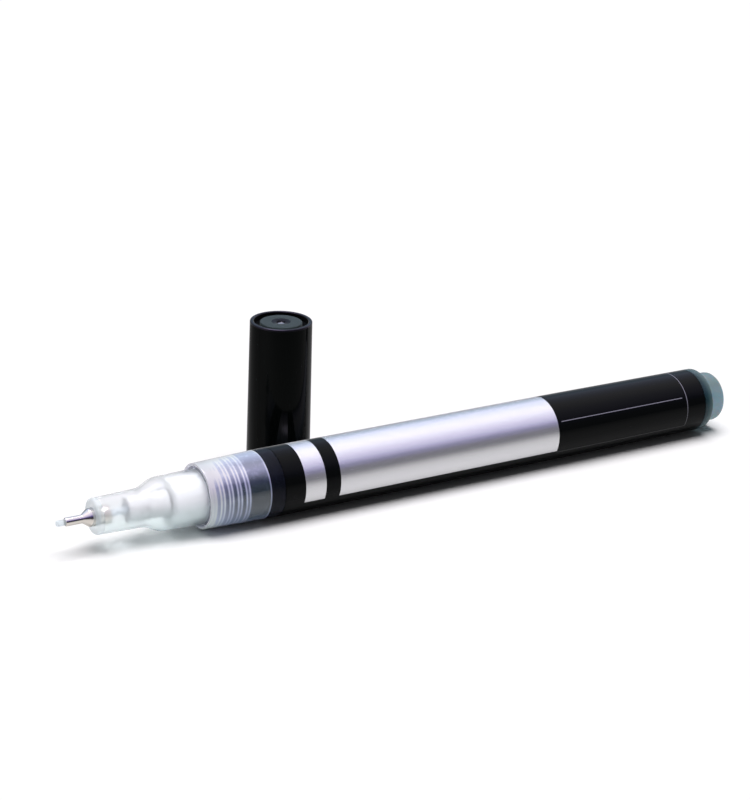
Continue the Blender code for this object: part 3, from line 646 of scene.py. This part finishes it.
def rib_lines_and_highlights(shader, along):
    """The nozzle's ribs as the clear collar magnifies them, painted on its skin, with painted
    highlights on their edges and on the skirt's end.
    """
    first_gap = RIB_SEEN_FIRST - RIB_SEEN_PITCH / 2
    turn = shader.math("DIVIDE", shader.math("SUBTRACT", along, first_gap), RIB_SEEN_PITCH)
    local = shader.math("MULTIPLY_ADD", shader.math("FRACT", turn), RIB_SEEN_PITCH,
                        -RIB_SEEN_PITCH / 2)
    lines = shader.math("ADD", ridge(shader, local, -RIB_SEEN_EDGE, RIB_LINE_WIDTH),
                        ridge(shader, local, RIB_SEEN_EDGE, RIB_LINE_WIDTH))
    inner = shader.math("LESS_THAN", shader.math("ABSOLUTE", local), RIB_SEEN_EDGE)
    ribs_and_highlights = shader.math("MULTIPLY_ADD", inner, RIB_TOP_COVER, lines)
    last_gap = RIB_SEEN_FIRST + (RIB_SEEN_COUNT - 0.5) * RIB_SEEN_PITCH
    ribs_and_highlights = shader.math("MULTIPLY", ribs_and_highlights, shader.math("LESS_THAN", along, last_gap))
    return shader.math("ADD", ribs_and_highlights, ridge(shader, along, SKIRT_SEEN_END, SKIRT_LINE_WIDTH))


def collar_plastic():
    """Clear polypropylene over the nozzle's ribs, which show on its skin with painted highlights.
    Painted light makes it hazier and lighter near the top, teal low down and violet higher up.
    """
    shader = Shader("collar_plastic", (0.3, 0.3, 0.4), 0.09, {"IOR": 2.0})
    shader.waves(CLEAR_WAVES, CLEAR_WAVINESS)
    along = shader.along_pen()
    share = shader.math("DIVIDE", along, SKIRT_SEEN_END)
    height = shader.height_share()
    # Painted light and highlight: hazier and lighter near the top, plus more haze seen edge on
    above = shader.math("ADD", shader.ramp(height, COLLAR_PAINTED_LIGHT_BY_HEIGHT),
                        shader.edge_on(COLLAR_EDGE_HAZE))
    clouds = shader.ramp(shader.noise(GLOSS_PATCHES, detail=5.0, roughness=0.65), CLOUDS_BY_NOISE)
    # Painted light: the clouds are weighted to show more towards the top
    clouds = shader.math("MULTIPLY", clouds, shader.ramp(height, CLOUDS_PAINTED_LIGHT_BY_HEIGHT))
    # Painted highlights: the rib lines weighted by height, where the light falls
    ribs_and_highlights = shader.math("MULTIPLY", rib_lines_and_highlights(shader, along), shader.ramp(height, RIB_HIGHLIGHTS_BY_HEIGHT))
    haze_and_painted_light = shader.ramp(share, HAZE_ALONG_COLLAR)
    for more in (clouds, above, ribs_and_highlights):
        haze_and_painted_light = shader.math("ADD", haze_and_painted_light, more)
    haze_and_painted_light = shader.math("MINIMUM", haze_and_painted_light, 1.0)
    # Painted light: a tint by height, teal low down and violet higher up
    color = shader.tinted(shader.ramp(haze_and_painted_light, COLLAR_BY_COVER),
                          shader.ramp(height, COLLAR_PAINTED_LIGHT_TINT_BY_HEIGHT))
    shader.drive("Base Color", color)
    alpha = shader.ramp(share, COLLAR_ALPHA_ALONG)
    shader.drive("Alpha", shader.math("MULTIPLY_ADD", haze_and_painted_light, COLLAR_ALPHA_OF_COVER, alpha))
    return shader.material


def tail_plastic():
    """The barrel's end behind the label, lighter towards its rim."""
    shader = Shader("tail_plastic", (0.05, 0.08, 0.09), 0.15,
                    {"Specular IOR Level": 0.28, "Alpha": 0.9})
    shader.waves(CLEAR_WAVES, CLEAR_WAVINESS)
    share = shader.math("MULTIPLY_ADD", shader.along_pen(), TAIL_SHADE_GROWTH,
                        -TAIL_SHADE_START * TAIL_SHADE_GROWTH)
    share = shader.math("ADD", share, shader.edge_on(TAIL_EDGE_SHADE))
    shader.drive("Base Color", shader.ramp(share, TAIL_BY_SHADE))
    return shader.material


def nozzle_plastic():
    """Frosted plastic, with painted light and shade: greenish and darker low down, violet-white at
    the middle and bluish on top.
    """
    shader = Shader("nozzle_plastic", (0.87, 0.955, 0.965), 0.36,
                    {"Transmission Weight": 0.8, "IOR": 1.12, "Coat Weight": 0.7,
                     "Coat IOR": 1.6, "Coat Roughness": 0.12})
    shader.waves(CLEAR_WAVES, CLEAR_WAVINESS)
    shader.drive("Alpha", shader.ramp(shader.facing(), NOZZLE_ALPHA_BY_FACING))
    # Painted light and shade by height
    shader.drive("Base Color", shader.ramp(shader.height_share(), NOZZLE_PAINTED_LIGHT_BY_HEIGHT))
    return shader.material


def plug_plastic():
    """Natural plastic, with painted light and shade: lighter at half its height, darker above and
    below.
    """
    shader = Shader("plug_plastic", (0.235, 0.36, 0.40), 0.22,
                    {"Subsurface Weight": 0.8, "Subsurface Scale": 0.002,
                     "Specular IOR Level": 0.22})
    shader.waves(MOULD_WAVES, MOULD_WAVINESS)
    # Painted light and shade by height
    shader.drive("Base Color", shader.ramp(shader.height_share(), PLUG_PAINTED_LIGHT_BY_HEIGHT))
    return shader.material


def nib_plastic():
    """A satin rod that lets some light through."""
    shader = Shader("nib_plastic", (0.90, 0.96, 1.0), 0.4, {"Transmission Weight": 0.6, "IOR": 1.1})
    shader.bump(shader.noise(FIBRES, detail=3.0), strength=0.1, distance=GRAIN_DEPTH)
    return shader.material


def felt():
    """Pressed white fibres, drawn out along the pen."""
    shader = Shader("felt", (0.86, 0.87, 0.88), 0.95)
    fibres = shader.noise(FIBRES, detail=5.0, roughness=0.7, stretch=FIBRE_STRETCH)
    shader.drive("Base Color", shader.ramp(fibres, FELT_BY_FIBRE))
    shader.bump(fibres, strength=0.5, distance=FELT_DEPTH)
    return shader.material


def cap_disc():
    """The matt end of the liner."""
    shader = Shader("cap_disc", (0.034, 0.045, 0.046), 0.6, {"Specular IOR Level": 0.15})
    grain = shader.noise(DISC_GRAIN, detail=3.0, roughness=0.6)
    shader.drive("Base Color", shader.ramp(grain, DISC_BY_GRAIN))
    shader.bump(grain, strength=0.15, distance=GRAIN_DEPTH)
    return shader.material


def is_silver(place):
    around = (place.angle - SILVER_LOW_ANGLE) % 360 <= SILVER_HIGH_ANGLE - SILVER_LOW_ANGLE
    return around and (STRIPE_START <= place.along <= STRIPE_END
                       or BAND_START <= place.along <= BAND_END)


def is_line(place):
    on_ring = abs(place.along - RING_LINE) <= LINE_WIDTH / 2
    ring = on_ring and (place.angle - LOW_LINE_ANGLE) % 360 <= SILVER_HIGH_ANGLE - LOW_LINE_ANGLE
    rule = (LINE_START <= place.along <= LINE_END
            and abs(place.angle - LINE_ANGLE) <= LINE_HALF_ANGLE)
    low_rule = (BAND_END <= place.along <= RING_LINE
                and abs(place.angle - LOW_LINE_ANGLE % 360) <= LINE_HALF_ANGLE)
    return ring or rule or low_rule


def make_label():
    """The film, with its silver areas and thin lines."""
    item = fine_copy("label_film", "label", "pen_body", PEN_AXIS,
                     moulded("label_black"))
    places = [STRIPE_START, STRIPE_END, BAND_START, BAND_END, LINE_START, LINE_END,
              RING_LINE - LINE_WIDTH / 2, RING_LINE + LINE_WIDTH / 2]
    angles = [SILVER_LOW_ANGLE, SILVER_HIGH_ANGLE]
    for angle in (LINE_ANGLE, LOW_LINE_ANGLE):
        angles += [angle - LINE_HALF_ANGLE, angle + LINE_HALF_ANGLE]

    def print_at(place):
        if is_silver(place):
            return "label_silver"
        return "label_line" if is_line(place) else "label_black"

    paint(item, PEN_AXIS, places, angles, print_at, label_silver(), label_line())


def make_barrel():
    """The tube: hazy round the nozzle, with painted light in its mouth, dark where ink wets it, and
    grey-green at the tail.
    """
    item = fine_copy("barrel_tube", "barrel", "pen_body", PEN_AXIS,
                     collar_plastic())
    collar_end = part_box("nozzle")[1].x - RIM_X
    label_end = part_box("label")[1].x - RIM_X - EASE

    def zone(place):
        if place.along > label_end:
            return "tail_plastic"
        if place.along > collar_end:
            return "inked_plastic"
        if place.radius > COLLAR_BORE:
            return "collar_plastic"
        # Painted light: the mouth of the bore pale, over the shade in the gap round the neck
        return "bore_plastic" if place.along > MOUTH_END else "mouth_painted_light"

    paint(item, PEN_AXIS, [MOUTH_END, collar_end, label_end], [], zone,
          clear("inked_plastic"), tail_plastic(), clear("bore_plastic"), clear("mouth_painted_light"))


def make_nozzle():
    """The moulding: frosted outside, clear in its hollows and at its end, with a clear skirt."""
    item = fine_copy("nozzle_moulding", "nozzle", "pen_body", PEN_AXIS,
                     nozzle_plastic())
    front_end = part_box("nozzle")[0].x - RIM_X + NOZZLE_CLEAR_END

    def zone(place):
        if place.along > 0:
            return "skirt_plastic"
        if place.along < front_end:
            return "nozzle_front"
        return "nozzle_plastic" if place.outward > NOZZLE_OUTER_FACING else "nozzle_bore"

    paint(item, PEN_AXIS, [0.0, front_end], [], zone,
          clear("skirt_plastic"), clear("nozzle_front"), clear("nozzle_bore"))


def refinish(item, material):
    """Gives the whole item one material."""
    item.data.materials.clear()
    item.data.materials.append(material)


def make_pen():
    """Every piece of the pen but the return spring."""
    white = moulded("inner_white")
    make_barrel()
    make_label()
    make_nozzle()
    fine_copy("needle_turned", "needle_tip", "pen_body", PEN_AXIS,
              steel("needle_steel"), SMALL_FACETS, SMALL_SHOWN_FACETS)
    fine_copy("nib_rod", "nib", "writing_tip", PEN_AXIS, nib_plastic(),
              NIB_FACETS, SMALL_SHOWN_FACETS)
    fine_copy("wick_sleeve", "feed_wick", "pen_body", PEN_AXIS, felt(), SMALL_FACETS)
    fine_copy("stem_moulding", "valve_stem", "writing_tip", PEN_AXIS, white,
              SMALL_FACETS, SMALL_SHOWN_FACETS)
    fine_copy("housing_tube", "valve_housing", "pen_body", PEN_AXIS,
              moulded("milky_white"))
    fine_copy("gasket_ring", "valve_gasket", "pen_body", PEN_AXIS, moulded("rubber"))
    fine_copy("ink_fill", "ink_charge", "pen_body", PEN_AXIS, moulded("wet_ink"))
    fine_copy("plug_moulding", "tail_plug", "pen_body", PEN_AXIS, plug_plastic())
    refinish(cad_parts["mixing_ball"], steel("ball_steel"))
    refinish(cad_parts["spring_retainer"], white)


def make_spring():
    """The return spring, a steel copy of the imported one."""
    item = bpy.data.objects.new("spring_coil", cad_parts["valve_spring"].data.copy())
    bpy.context.scene.collection.objects.link(item)
    refinish(item, steel("spring_wire"))
    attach(item, "pen_body")
    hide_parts("valve_spring")
    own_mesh(item)


def make_cap():
    """The cap, which the pen's gloss doesn't mirror."""
    shell = fine_copy("cap_case", "cap_shell", "cap", CAP_AXIS,
                      moulded("cap_gloss"))
    bevel_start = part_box("cap_shell")[1].z - CAP_BEVEL

    def shell_zone(place):
        if place.radius < CAP_RIM_INSIDE:
            return "cap_inside"
        return "cap_bevel" if place.along > bevel_start else "cap_gloss"

    paint(shell, CAP_AXIS, [bevel_start], [], shell_zone,
          moulded("cap_bevel"), moulded("cap_inside"))
    liner = fine_copy("cap_inner", "cap_liner", "cap", CAP_AXIS, cap_disc())

    def liner_zone(place):
        if place.radius < PIP_RADIUS:
            # The polished pip, with a painted highlight in its pale violet colour
            return "cap_pip_and_highlight"
        return "cap_dimple" if place.radius < DIMPLE_RADIUS else "cap_disc"

    paint(liner, CAP_AXIS, [], [], liner_zone, moulded("cap_dimple"), moulded("cap_pip_and_highlight"))
    for item in (shell, liner):
        item.visible_glossy = False


def make_camera():
    """The photo's view, placed from the floor under the collar rim."""
    yaw, pitch, roll = CAMERA_YAW, CAMERA_PITCH, CAMERA_ROLL
    forward = Vector((math.sin(yaw) * math.cos(pitch), math.cos(yaw) * math.cos(pitch),
                      -math.sin(pitch)))
    level = Vector((math.cos(yaw), -math.sin(yaw), 0))
    above = level.cross(forward)
    right = level * math.cos(roll) + above * math.sin(roll)
    up = above * math.cos(roll) - level * math.sin(roll)
    data = bpy.data.cameras.new("camera")
    data.lens = FOCAL_PIXELS / IMAGE_HEIGHT * SENSOR
    data.sensor_width = SENSOR
    data.clip_start = CLIP_START
    camera = bpy.data.objects.new("camera", data)
    turn = Matrix((right, up, -forward)).transposed().to_4x4()
    floor_point = Vector((PEN_AXIS.origin.x, PEN_AXIS.origin.y, 0))
    camera.matrix_world = Matrix.Translation(floor_point + CAMERA_FROM_RIM) @ turn
    bpy.context.scene.collection.objects.link(camera)
    bpy.context.scene.camera = camera


def room_in_gloss(nodes):
    """What gloss mirrors: a dim front, a wide softbox overhead and a pale wall behind."""
    place = nodes.node("ShaderNodeTexCoord").outputs["Generated"]
    parts = nodes.parts_of(place)
    front = nodes.math("MULTIPLY", parts["Y"], -1.0)
    turn = nodes.math("ARCTAN2", parts["Z"], front)
    stops = [(degrees / 180, [part / ROOM_PEAK for part in color])
             for degrees, color in ROOM_STOPS]
    room = nodes.background(nodes.ramp(nodes.math("DIVIDE", turn, math.pi), stops), ROOM_PEAK)
    towards = nodes.node("ShaderNodeVectorMath")
    towards.operation = "DOT_PRODUCT"
    nodes.feed(towards.inputs[0], place)
    nodes.feed(towards.inputs[1], SPOT_TOWARDS)
    in_spot = nodes.math("GREATER_THAN", towards.outputs["Value"], math.cos(SPOT_WIDTH))
    return nodes.mixed(in_spot, room, nodes.background(SPOT_COLOR, SPOT_LEVEL))


def make_world():
    """A dim even fill that shows as white, and the room that gloss mirrors."""
    world = bpy.data.worlds.new("studio")
    bpy.context.scene.world = world
    world.cycles.sampling_method = "NONE"
    world.use_nodes = True
    nodes = Nodes(world.node_tree)
    nodes.tree.nodes.clear()
    soft = nodes.background(ROOM_COLOR, ROOM_FILL)
    shown = nodes.background((1, 1, 1), 1.0)
    lit = nodes.mixed(nodes.ray_kind("Is Glossy Ray"), soft, room_in_gloss(nodes))
    whole = nodes.mixed(nodes.ray_kind("Is Camera Ray", "Is Transmission Ray"), lit, shown)
    nodes.node("ShaderNodeOutputWorld", Surface=whole)


def floor_white():
    """Plain white to the camera, and a white that fades with distance where gloss mirrors it."""
    material = bpy.data.materials.new("floor_white")
    material.use_nodes = True
    nodes = Nodes(material.node_tree)
    nodes.tree.nodes.clear()
    direct = nodes.ray_kind("Is Camera Ray", "Is Transmission Ray")
    level = nodes.math("MULTIPLY_ADD", direct, FLOOR_SHOWN - FLOOR_WHITE, FLOOR_WHITE)
    away = nodes.math("SUBTRACT", nodes.parts_of(nodes.where())["Y"], PEN_AXIS.origin.y)
    furthest = FLOOR_STOPS[-1][0]
    share = nodes.math("DIVIDE", nodes.math("ABSOLUTE", away), furthest)
    in_gloss = nodes.ramp(share, [(distance / furthest, white) for distance, white in FLOOR_STOPS])
    change = nodes.math("SUBTRACT", in_gloss, FLOOR_WHITE)
    level = nodes.math("MULTIPLY_ADD", nodes.ray_kind("Is Glossy Ray"), change, level)
    color = nodes.node("ShaderNodeCombineColor", Red=level, Green=level, Blue=level)
    matt = nodes.node("ShaderNodeBsdfDiffuse", Color=color.outputs[0])
    nodes.node("ShaderNodeOutputMaterial", Surface=matt.outputs[0])
    return material


def make_floor():
    """A white floor that shows as plain white where it is lit, and keeps the shadows."""
    mesh = bpy.data.meshes.new("floor")
    shape = bmesh.new()
    bmesh.ops.create_grid(shape, x_segments=1, y_segments=1, size=FLOOR_HALF_SIZE)
    shape.to_mesh(mesh)
    shape.free()
    mesh.materials.append(floor_white())
    floor = bpy.data.objects.new("floor", mesh)
    floor.location = (0, 0, -FLOOR_GAP)
    bpy.context.scene.collection.objects.link(floor)


def make_lamp():
    """A wide softbox straight above, far enough away to light all of the floor alike."""
    data = bpy.data.lights.new("overhead", "SUN")
    data.energy = LAMP_LEVEL * math.pi
    data.angle = LAMP_WIDTH
    data.color = LAMP_COLOR
    lamp = bpy.data.objects.new("overhead", data)
    lamp.rotation_euler = (LAMP_LEAN, 0, 0)
    lamp.location = (0, 0, LAMP_HEIGHT)
    lamp.visible_glossy = False
    bpy.context.scene.collection.objects.link(lamp)


make_pen()
make_spring()
make_cap()
make_camera()
make_world()
make_floor()
make_lamp()
bpy.context.scene.view_settings.view_transform = "Standard"
